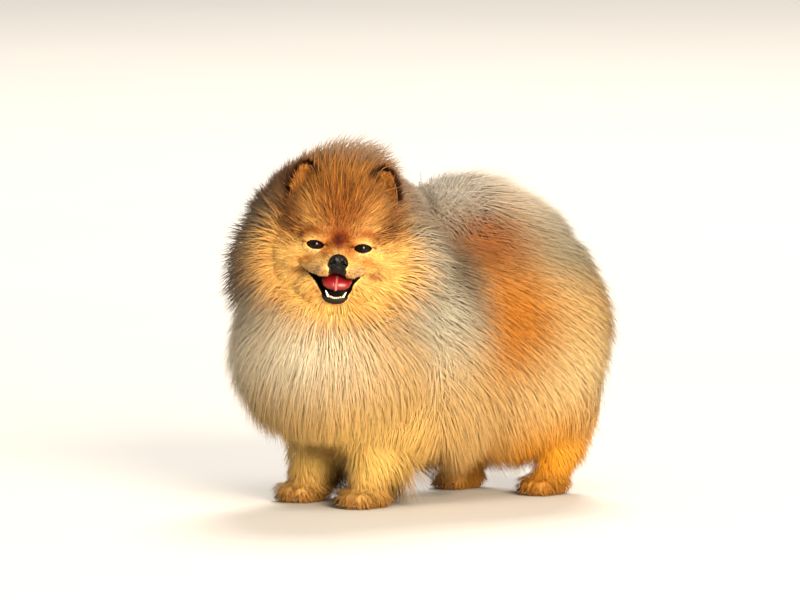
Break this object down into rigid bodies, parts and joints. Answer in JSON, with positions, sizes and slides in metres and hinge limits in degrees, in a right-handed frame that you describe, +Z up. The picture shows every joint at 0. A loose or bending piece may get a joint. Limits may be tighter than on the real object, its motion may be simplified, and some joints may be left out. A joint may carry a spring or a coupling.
{
  "type": "pomeranian",
  "caption": "Small fluffy dog in full coat, standing, with its head turned to its left and its mouth open.",
  "frame": {"origin": "on the floor, under the middle of the dog's bounding box", "axes": "+Z up, -Y towards the dog's front, +X to the dog's left"},
  "size_m": [0.2206, 0.3678, 0.2973],
  "materials": {
    "ear_coat": "short dark orange fur",
    "eye": null,
    "head_coat": "soft dense orange sable fur",
    "leg_coat": "short orange fur",
    "lips": null,
    "ruff_coat": "long cream and orange fur",
    "nose_leather": "moist black leather",
    "tail_coat": "long pale silver cream fur",
    "tongue": null,
    "saddle_coat": "long grey, cream and orange sable fur"
  },
  "bodies": {
    "root": {"ear_left": "ear_coat", "ear_right": "ear_coat", "eye_left": "eye", "eye_right": "eye", "head": "head_coat", "leg_fore_left": "leg_coat", "leg_fore_right": "leg_coat", "leg_hind_left": "leg_coat", "leg_hind_right": "leg_coat", "lower_jaw": "lips", "neck_ruff": "ruff_coat", "nose": "nose_leather", "paw_fore_left": "leg_coat", "paw_fore_right": "leg_coat", "paw_hind_left": "leg_coat", "paw_hind_right": "leg_coat", "tail": "tail_coat", "tongue": "tongue", "torso": "saddle_coat"}
  },
  "joints": []
}
